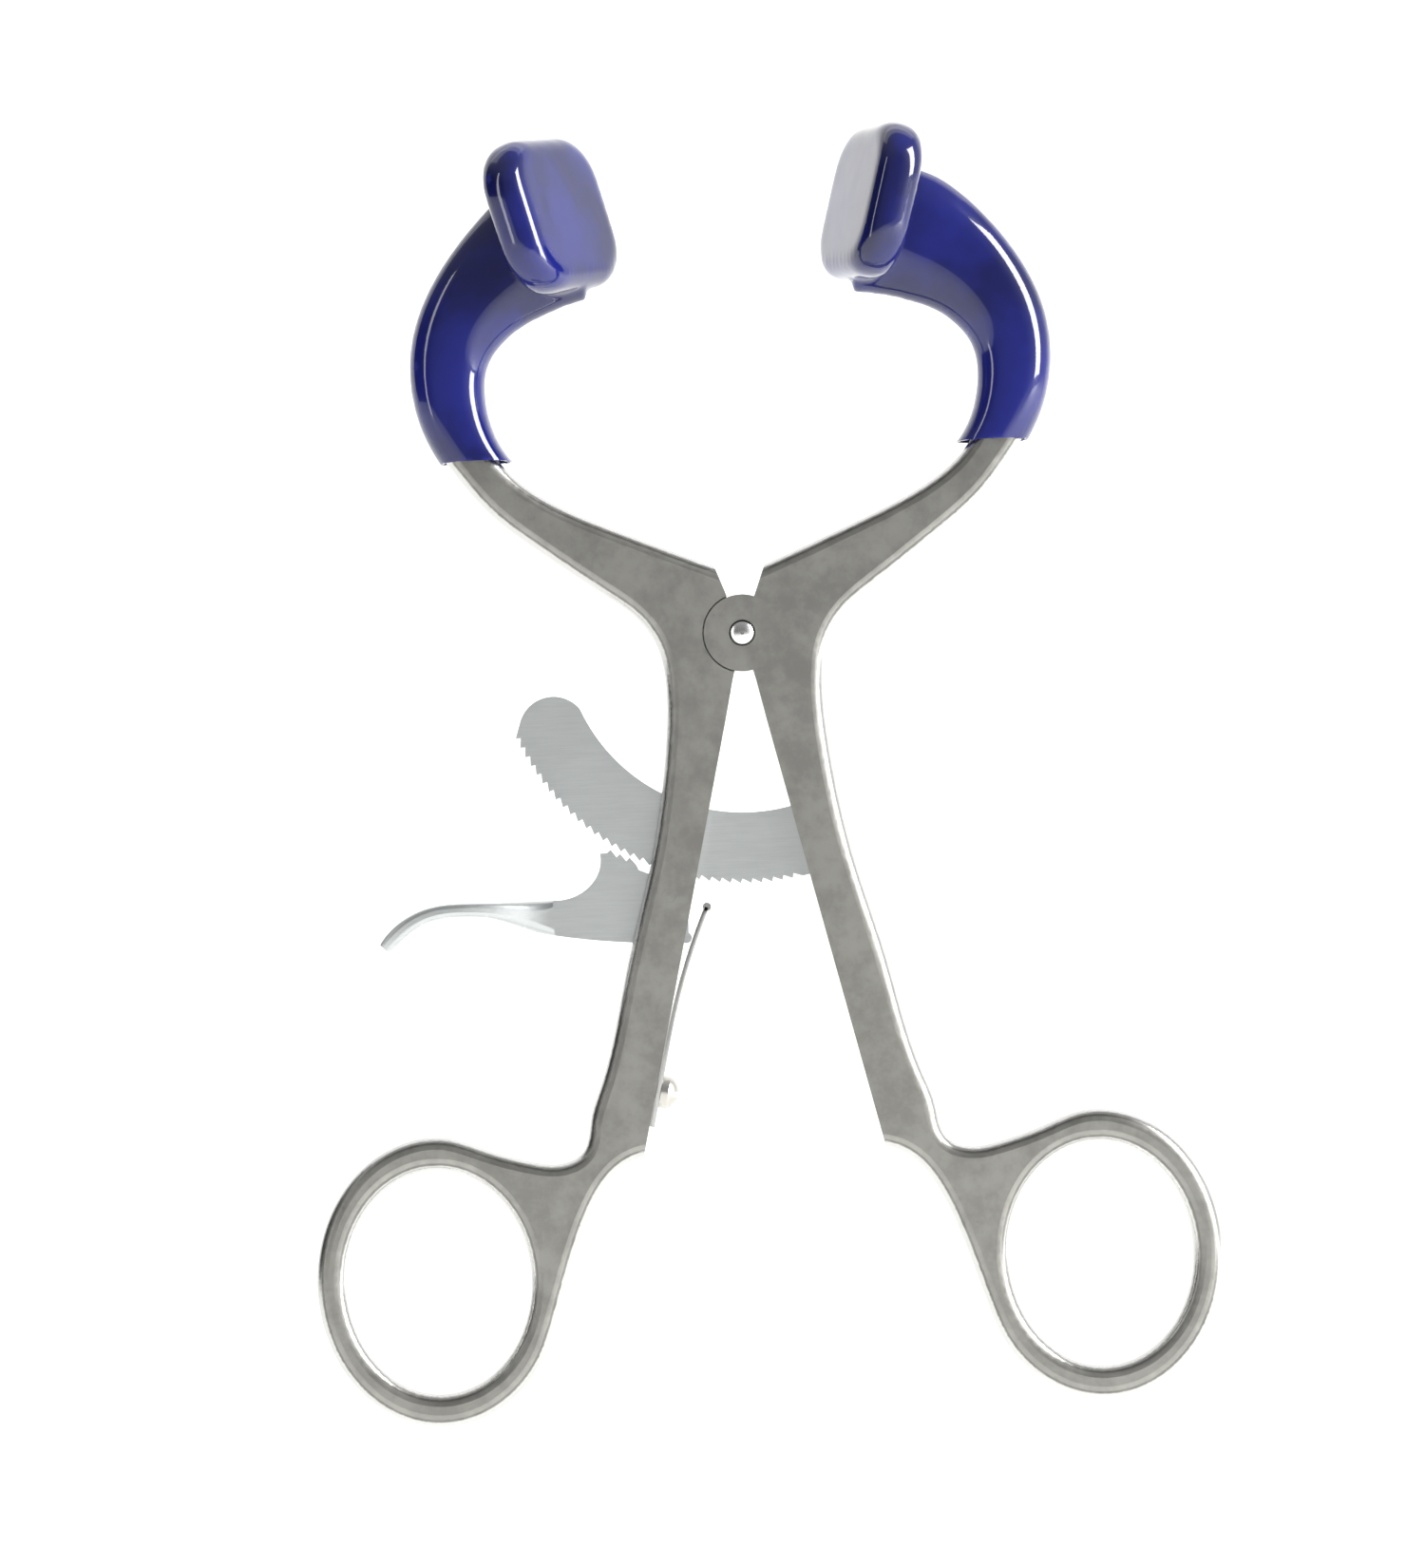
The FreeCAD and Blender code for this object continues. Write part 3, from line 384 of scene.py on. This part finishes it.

# %% [markdown]
# ## The leaf spring
# The spring is a steel strip, screwed flat to the left shank. It bends away from the shank and its rolled
# lip ends just past the heel of the lever. When the trigger is pressed, the heel pushes the strip away;
# here it is one fixed piece in its rest shape. The start is one small rectangle, extruded along the shank
# and then spun about the bend's centre. A thin cylinder across the tip is the lip.

# %% Build the leaf spring
SPRING_WIDTH, SPRING_THICKNESS, LIP_RADIUS, SPRING_EDGE = 3.0 * MM, 0.5 * MM, 0.45 * MM, 0.07 * MM
SPRING_LEAN = math.radians(13.1)  # the shank's, from upright towards +X
BEND_RADIUS, BEND_SWEEP = 74.0 * MM, math.radians(11.3)
SPRING_FOOT = HINGE + Vector((-12.0, 0, -52.65)) * MM
ALONG_SHANK = Vector((math.sin(SPRING_LEAN), 0, math.cos(SPRING_LEAN)))
STRAIGHT = 9.85 * MM  # from the foot to where the bend begins


def new_spring():
    bpy.ops.object.select_all(action="DESELECT")
    bpy.ops.mesh.primitive_plane_add(size=1.0, location=SPRING_FOOT)
    strip = bpy.context.object
    strip.name = "spring_strip"
    strip.scale = (SPRING_THICKNESS, SPRING_WIDTH, 1.0)
    settle(strip)
    edit(strip)
    bpy.ops.mesh.select_all(action="SELECT")
    turn_selection(math.degrees(SPRING_LEAN), SPRING_FOOT)
    bpy.ops.mesh.extrude_region_move(TRANSFORM_OT_translate={"value": ALONG_SHANK * STRAIGHT})
    knee = SPRING_FOOT + ALONG_SHANK * STRAIGHT
    away = Vector((math.cos(SPRING_LEAN), 0, -math.sin(SPRING_LEAN)))
    centre = knee + away * BEND_RADIUS
    bpy.ops.mesh.spin(steps=16, angle=-BEND_SWEEP, center=centre, axis=(0, 1, 0))
    leave_edit()
    outward(strip)
    apply_modifier(strip, "BEVEL", width=SPRING_EDGE, segments=2)
    tip = centre - Matrix.Rotation(BEND_SWEEP, 3, "Y") @ away * BEND_RADIUS
    bpy.ops.object.select_all(action="DESELECT")
    bpy.ops.mesh.primitive_cylinder_add(
        vertices=32, radius=LIP_RADIUS, depth=SPRING_WIDTH, location=tip, rotation=(math.radians(90), 0, 0)
    )
    lip = bpy.context.object
    settle(lip)
    strip.select_set(True)
    bpy.context.view_layer.objects.active = strip
    bpy.ops.object.join()
    only(strip)
    bpy.ops.object.shade_smooth_by_angle(angle=SMOOTH_BELOW)
    print("lip", [round(v / MM, 2) for v in tip - HINGE], "mm from the hinge")
    return strip


spring = new_spring()
report(spring)

# %% [markdown]
# ## Shared effects
# The steel's cloudy grain, its ground lines, and the rubbed edges of both steel and plastic come from three
# node groups, so that each effect is tuned in one place. A group gives out masks and values only, and each
# material mixes them.

# %% Finish groups: shader effects that several materials share


def new_group(name, inputs, outputs):
    group = bpy.data.node_groups.new(name, "ShaderNodeTree")
    for label, kind, value in inputs:
        socket = group.interface.new_socket(name=label, in_out="INPUT", socket_type=kind)
        if value is not None:
            socket.default_value = value
    for label, kind in outputs:
        group.interface.new_socket(name=label, in_out="OUTPUT", socket_type=kind)
    return group, group.nodes.new("NodeGroupInput"), group.nodes.new("NodeGroupOutput")


def feed(tree, socket, value):
    """Give a socket a plain number, or link it to another node's output."""
    if isinstance(value, (int, float)):
        socket.default_value = value
    else:
        tree.links.new(value, socket)


def math_node(tree, operation, *values):
    node = tree.nodes.new("ShaderNodeMath")
    node.operation = operation
    for socket, value in zip(node.inputs, values):
        feed(tree, socket, value)
    return node.outputs[0]


def ramp(tree, value, low, high):
    node = tree.nodes.new("ShaderNodeMapRange")
    node.interpolation_type = "SMOOTHSTEP"
    tree.links.new(value, node.inputs["Value"])
    node.inputs["From Min"].default_value = low
    node.inputs["From Max"].default_value = high
    return node.outputs["Result"]


def noise(tree, vector, scale, detail=3.0, roughness=0.55):
    node = tree.nodes.new("ShaderNodeTexNoise")
    tree.links.new(vector, node.inputs["Vector"])
    node.inputs["Scale"].default_value = scale
    node.inputs["Detail"].default_value = detail
    node.inputs["Roughness"].default_value = roughness
    return node.outputs["Fac"]


def mapped(tree, vector, scale, turn=(0.0, 0.0, 0.0)):
    node = tree.nodes.new("ShaderNodeMapping")
    node.inputs["Scale"].default_value = scale
    node.inputs["Rotation"].default_value = turn
    tree.links.new(vector, node.inputs["Vector"])
    return node.outputs["Vector"]


def blasted_group():
    """The matt, slightly cloudy skin of bead-blasted steel: a fine grain and broad soft patches."""
    group, inside, outside = new_group(
        "blasted_skin",
        [("Vector", "NodeSocketVector", None), ("Grain", "NodeSocketFloat", 9000.0)],
        [("Grain", "NodeSocketFloat"), ("Patches", "NodeSocketFloat")],
    )
    vector = inside.outputs["Vector"]
    grain = group.nodes.new("ShaderNodeTexNoise")
    group.links.new(vector, grain.inputs["Vector"])
    group.links.new(inside.outputs["Grain"], grain.inputs["Scale"])
    grain.inputs["Detail"].default_value = 4.0
    group.links.new(grain.outputs["Fac"], outside.inputs["Grain"])
    broad = noise(group, vector, 260.0, 4.0, 0.6)
    fine = noise(group, vector, 1100.0, 3.0, 0.6)
    mixed = math_node(group, "MULTIPLY_ADD", broad, 0.65, math_node(group, "MULTIPLY", fine, 0.35))
    group.links.new(mixed, outside.inputs["Patches"])
    return group


def brushed_group():
    """Fine parallel scratches along one direction of the Vector, as a belt leaves them."""
    group, inside, outside = new_group(
        "brushed_lines",
        [("Vector", "NodeSocketVector", None), ("Fineness", "NodeSocketFloat", 7000.0)],
        [("Lines", "NodeSocketFloat")],
    )
    stretched = mapped(group, inside.outputs["Vector"], (1.0, 1.0, 0.035))
    lines = group.nodes.new("ShaderNodeTexNoise")
    group.links.new(stretched, lines.inputs["Vector"])
    group.links.new(inside.outputs["Fineness"], lines.inputs["Scale"])
    lines.inputs["Detail"].default_value = 5.0
    lines.inputs["Roughness"].default_value = 0.7
    group.links.new(lines.outputs["Fac"], outside.inputs["Lines"])
    return group


def edge_group():
    """1 on the convex edges of a piece, where handling polishes it, and 0 on its flats."""
    limits = [("Low", "NodeSocketFloat", 0.505), ("High", "NodeSocketFloat", 0.56)]
    group, inside, outside = new_group(
        "edge_wear",
        [("Vector", "NodeSocketVector", None), *limits],
        [("Wear", "NodeSocketFloat")],
    )
    geometry = group.nodes.new("ShaderNodeNewGeometry")
    soft = group.nodes.new("ShaderNodeMapRange")
    soft.interpolation_type = "SMOOTHSTEP"
    group.links.new(geometry.outputs["Pointiness"], soft.inputs["Value"])
    group.links.new(inside.outputs["Low"], soft.inputs["From Min"])
    group.links.new(inside.outputs["High"], soft.inputs["From Max"])
    breakup = ramp(group, noise(group, inside.outputs["Vector"], 900.0, 4.0), 0.3, 0.65)
    worn = math_node(group, "MULTIPLY", soft.outputs["Result"], breakup)
    group.links.new(worn, outside.inputs["Wear"])
    return group


BLASTED, BRUSHED, EDGES = blasted_group(), brushed_group(), edge_group()
print("shared effects:", BLASTED.name, BRUSHED.name, EDGES.name)

# %% [markdown]
# ## Steel finishes
# All the steel is the same grade, but not the same finish. The faces of the arms are bead-blasted, so that
# they don't dazzle under the surgery lamp, and their rounded sides are polished. The rack and lever are
# ground flat and stay brighter and bluer. The rivet's dome is polished by the tool that closes it. A face
# and a side are told apart by the direction they face: the arms are flat plates, so the polish is mixed in
# as the surface turns away from the front and the back.

# %% Make the steel materials


def new_material(name):
    material = bpy.data.materials.new(name)
    material.use_nodes = True
    tree = material.node_tree
    shader = tree.nodes["Principled BSDF"]
    place = tree.nodes.new("ShaderNodeTexCoord").outputs["Object"]
    return material, tree, shader, place


def use_group(tree, group, **inputs):
    node = tree.nodes.new("ShaderNodeGroup")
    node.node_tree = group
    for name, value in inputs.items():
        feed(tree, node.inputs[name], value)
    return node


def colour_mix(tree, factor, a, b):
    node = tree.nodes.new("ShaderNodeMix")
    node.data_type = "RGBA"
    tree.links.new(factor, node.inputs["Factor"])
    for label, value in (("A", a), ("B", b)):
        socket = [s for s in node.inputs if s.name == label and s.type == "RGBA"][0]
        if isinstance(value, tuple):
            socket.default_value = (*value, 1.0)
        else:
            tree.links.new(value, socket)
    return [s for s in node.outputs if s.type == "RGBA"][0]


def value_mix(tree, factor, a, b):
    node = tree.nodes.new("ShaderNodeMix")
    node.data_type = "FLOAT"
    tree.links.new(factor, node.inputs["Factor"])
    feed(tree, node.inputs[2], a)
    feed(tree, node.inputs[3], b)
    return node.outputs[0]


def bump(tree, shader, height, strength, distance):
    node = tree.nodes.new("ShaderNodeBump")
    node.inputs["Strength"].default_value = strength
    node.inputs["Distance"].default_value = distance
    tree.links.new(height, node.inputs["Height"])
    tree.links.new(node.outputs["Normal"], shader.inputs["Normal"])


def away_from_flat(tree):
    """0 on the front and back faces of a plate, 1 on its sides."""
    geometry = tree.nodes.new("ShaderNodeNewGeometry")
    parts = tree.nodes.new("ShaderNodeSeparateXYZ")
    tree.links.new(geometry.outputs["Normal"], parts.inputs[0])
    facing = math_node(tree, "ABSOLUTE", parts.outputs["Y"])
    return ramp(tree, math_node(tree, "SUBTRACT", 1.0, facing), 0.03, 0.30)


def painted_shade_line(tree, edge):
    """1 in the narrow line where the blasted face ends and the polished side begins, 0 elsewhere: the mask of a
    painted dark line of shade.
    """
    rising = ramp(tree, edge, 0.0, 0.25)
    falling = ramp(tree, edge, 0.35, 0.9)
    return math_node(tree, "SUBTRACT", rising, falling)


def blasted_steel(name, face, side, face_rough, side_rough):
    """Blasted flat faces that turn into polished rounded sides, with a painted dark line of shade between them.
    """
    material, tree, shader, place = new_material(name)
    skin = use_group(tree, BLASTED, Vector=place)
    edge = away_from_flat(tree)
    wear = math_node(tree, "MULTIPLY", use_group(tree, EDGES, Vector=place).outputs["Wear"], edge)
    dull = tuple(v * 0.80 for v in face)
    faces = colour_mix(tree, ramp(tree, skin.outputs["Patches"], 0.36, 0.64), dull, face)
    # Painted shade: along the line between face and side the colour drops to 30 % of the face colour. This dark
    # edge line stands for the room's dark reflection.
    rim = math_node(tree, "MULTIPLY", painted_shade_line(tree, edge), 0.7)
    with_painted_edge_shade = colour_mix(tree, rim, faces, tuple(v * 0.30 for v in face))
    beyond = ramp(tree, edge, 0.55, 0.95)
    colour = colour_mix(tree, beyond, with_painted_edge_shade, side)
    tree.links.new(colour_mix(tree, wear, colour, side), shader.inputs["Base Color"])
    rough = value_mix(tree, edge, face_rough, side_rough)
    uneven = math_node(tree, "MULTIPLY", skin.outputs["Patches"], 0.12)
    tree.links.new(math_node(tree, "ADD", rough, uneven), shader.inputs["Roughness"])
    shader.inputs["Metallic"].default_value = 1.0
    height = value_mix(tree, edge, skin.outputs["Grain"], 0.5)
    bump(tree, shader, height, 0.25, 0.03 * MM)
    return material


def ground_steel(name, colour, rough, turn):
    """Flat-ground steel with fine lines in one direction."""
    material, tree, shader, place = new_material(name)
    lines = use_group(tree, BRUSHED, Vector=mapped(tree, place, (1.0, 1.0, 1.0), turn)).outputs["Lines"]
    skin = use_group(tree, BLASTED, Vector=place)
    edge = away_from_flat(tree)
    wear = math_node(tree, "MULTIPLY", use_group(tree, EDGES, Vector=place).outputs["Wear"], edge)
    dull = tuple(v * 0.92 for v in colour)
    bright = tuple(min(1.0, v * 1.15) for v in colour)
    tone = colour_mix(tree, ramp(tree, lines, 0.3, 0.7), dull, colour)
    tree.links.new(colour_mix(tree, wear, tone, bright), shader.inputs["Base Color"])
    uneven = math_node(tree, "MULTIPLY", skin.outputs["Patches"], 0.14)
    scratched = math_node(tree, "MULTIPLY", lines, 0.10)
    rough_sum = math_node(tree, "ADD", uneven, scratched)
    tree.links.new(math_node(tree, "ADD", rough_sum, rough), shader.inputs["Roughness"])
    shader.inputs["Metallic"].default_value = 1.0
    bump(tree, shader, lines, 0.18, 0.02 * MM)
    return material


ALONG_X = (0.0, math.radians(90), 0.0)
ALONG_Z = (0.0, 0.0, 0.0)
satin = blasted_steel("blasted_satin", (0.39, 0.385, 0.36), (0.66, 0.655, 0.64), 0.34, 0.17)
rack_steel = ground_steel("ground_rack", (0.63, 0.655, 0.655), 0.27, ALONG_X)
spring_steel = ground_steel("ground_spring", (0.50, 0.50, 0.49), 0.18, ALONG_Z)
pin_steel = ground_steel("pin_steel", (0.80, 0.80, 0.79), 0.12, ALONG_X)
screw_steel = ground_steel("screw_steel", (0.62, 0.60, 0.56), 0.20, ALONG_X)

FINISHES = {
    "left_arm": satin,
    "right_arm": satin,
    "ratchet_rack": rack_steel,
    "release_lever": rack_steel,
    "hinge_pin": pin_steel,
    "rack_pins": pin_steel,
    "lever_pin": satin,
    "leaf_spring": spring_steel,
    "spring_screw": screw_steel,
}
for node, material in FINISHES.items():
    slots = NODES[node].data.materials
    slots.clear()
    slots.append(material)
    print(node, "is", material.name)

spring.data.materials.clear()
spring.data.materials.append(spring_steel)
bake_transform(spring)
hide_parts("leaf_spring")

# %% [markdown]
# ## Blue plastic
# The covers are a soft vinyl with a wet gloss: a deep navy body under a clear, slightly wavy surface. Two
# blues are mixed by a slow noise, so that the colour isn't even, and a coat gives the sharp white streaks
# over the softer sheen of the body. A faint wave in the normal breaks the streaks up.

# %% Make the plastic
DEEP_BLUE = (0.004, 0.006, 0.070)
LIVELY_BLUE = (0.009, 0.013, 0.150)
RUBBED_BLUE = (0.05, 0.06, 0.36)  # on the edges that handling has rubbed


def blue_vinyl():
    material, tree, shader, place = new_material("blue_vinyl")
    slow = ramp(tree, noise(tree, place, 90.0, 3.0), 0.35, 0.65)
    wear = use_group(tree, EDGES, Vector=place, Low=0.51, High=0.60).outputs["Wear"]
    body = colour_mix(tree, slow, DEEP_BLUE, LIVELY_BLUE)
    rubbed = math_node(tree, "MULTIPLY", wear, 0.35)
    tree.links.new(colour_mix(tree, rubbed, body, RUBBED_BLUE), shader.inputs["Base Color"])
    smear = ramp(tree, noise(tree, place, 420.0, 4.0), 0.3, 0.8)
    tree.links.new(math_node(tree, "MULTIPLY_ADD", smear, 0.10, 0.16), shader.inputs["Roughness"])
    shader.inputs["Coat Weight"].default_value = 1.0
    shader.inputs["Coat Roughness"].default_value = 0.05
    shader.inputs["Specular IOR Level"].default_value = 0.12
    shader.inputs["Coat IOR"].default_value = 1.6
    wave = noise(tree, place, 160.0, 2.0)
    pebble = math_node(tree, "MULTIPLY", noise(tree, place, 2200.0, 3.0), 0.05)
    bump(tree, shader, math_node(tree, "ADD", wave, pebble), 0.25, 0.3 * MM)
    return material


vinyl = blue_vinyl()
for side, cover in covers.items():
    cover.data.materials.clear()
    cover.data.materials.append(vinyl)
    name = SIDE_NAMES[side]
    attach(cover, f"{name}_half")
    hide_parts(f"{name}_jaw_cover")
print("covers ride on the two halves")

# %% [markdown]
# ## The studio
# A pale sweep runs under the instrument and up behind it, so that there is no horizon. A broad soft box at
# the right draws the bright lines along the right-hand edges, a narrow strip stands at the left, and a
# third box hangs above and behind. What the steel mirrors of the room is grey in front, dark at the left
# and bright at the right.

# %% Floor, light and room
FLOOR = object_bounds()[0].z - 20 * MM  # it hangs clear, as in a hand, and a ring swings lower as the jaws open
SWEEP_WIDTH, SWEEP_FRONT, SWEEP_BACK, SWEEP_HEIGHT, SWEEP_BEND = 4.0, -2.0, 0.9, 2.2, 0.5
# How bright the room is on each side of the instrument
ROOM_FRONT, ROOM_BACK, ROOM_LEFT, ROOM_RIGHT, ROOM_TOP = 0.22, 0.42, 0.04, 0.7, 0.35


def at_sweep_back(edge):
    return all(v.co.y > SWEEP_BACK - 0.01 for v in edge.verts)


def at_sweep_corner(edge):
    return at_sweep_back(edge) and all(v.co.z < FLOOR + 0.01 for v in edge.verts)


def new_sweep():
    bpy.ops.object.select_all(action="DESELECT")
    middle = (HINGE.x, (SWEEP_FRONT + SWEEP_BACK) / 2, FLOOR)
    bpy.ops.mesh.primitive_plane_add(size=1.0, location=middle)
    sweep = bpy.context.object
    sweep.name = "sweep"
    sweep.scale = (SWEEP_WIDTH, SWEEP_BACK - SWEEP_FRONT, 1.0)
    settle(sweep)
    edit(sweep, "EDGE")
    pick(sweep, at_sweep_back, "edges")
    bpy.ops.mesh.extrude_region_move(TRANSFORM_OT_translate={"value": (0, 0, SWEEP_HEIGHT)})
    pick(sweep, at_sweep_corner, "edges")
    bpy.ops.mesh.bevel(offset=SWEEP_BEND, segments=24, affect="EDGES")
    leave_edit()
    only(sweep)
    bpy.ops.object.shade_smooth()
    return sweep


def paper():
    material, tree, shader, place = new_material("paper")
    tone = ramp(tree, noise(tree, place, 3.0, 2.0), 0.3, 0.7)
    white = colour_mix(tree, tone, (0.80, 0.80, 0.79), (0.82, 0.82, 0.81))
    tree.links.new(white, shader.inputs["Base Color"])
    shader.inputs["Roughness"].default_value = 0.9
    shader.inputs["Emission Color"].default_value = (1.0, 1.0, 0.99, 1.0)
    shader.inputs["Emission Strength"].default_value = 0.5
    return material


def soft_box(name, place, size, power):
    """A rectangular lamp of this size in metres and power in watts, aimed at the hinge."""
    bpy.ops.object.light_add(type="AREA", location=place)
    light = bpy.context.object
    light.name = name
    light.data.shape = "RECTANGLE"
    light.data.size, light.data.size_y = size
    light.data.energy = power
    light.rotation_euler = (HINGE - Vector(place)).to_track_quat("-Z", "Y").to_euler()


def new_room():
    """Grey before the instrument, dark at its left, bright at its right; white where the lens looks."""
    world = bpy.data.worlds.new("room")
    bpy.context.scene.world = world
    world.use_nodes = True
    tree = world.node_tree
    direction = tree.nodes.new("ShaderNodeTexCoord").outputs["Generated"]
    parts = tree.nodes.new("ShaderNodeSeparateXYZ")
    tree.links.new(direction, parts.inputs[0])
    behind = ramp(tree, parts.outputs["Y"], -0.25, 0.6)
    depth = value_mix(tree, behind, ROOM_FRONT, ROOM_BACK)
    at_left = ramp(tree, math_node(tree, "MULTIPLY", parts.outputs["X"], -1.0), 0.35, 0.85)
    darkened = value_mix(tree, at_left, depth, ROOM_LEFT)
    at_right = ramp(tree, parts.outputs["X"], 0.35, 0.9)
    sides = value_mix(tree, at_right, darkened, ROOM_RIGHT)
    overhead = ramp(tree, parts.outputs["Z"], 0.3, 0.9)
    light = value_mix(tree, overhead, sides, ROOM_TOP)
    seen = tree.nodes.new("ShaderNodeLightPath").outputs["Is Camera Ray"]
    background = tree.nodes["Background"]
    tree.links.new(value_mix(tree, seen, light, 1.0), background.inputs["Strength"])
    background.inputs["Color"].default_value = (1.0, 1.0, 1.0, 1.0)


sweep = new_sweep()
sweep.data.materials.append(paper())
soft_box("key", (0.95, -0.40, 0.45), (0.40, 0.9), 17.0)
soft_box("strip", (-0.80, -0.55, 0.35), (0.12, 0.8), 1.2)
soft_box("backdrop", (0.0, 0.35, 1.1), (1.8, 0.5), 2.0)
new_room()
bpy.context.scene.view_settings.view_transform = "Standard"
print("floor at", round(FLOOR / MM, 2), "mm")
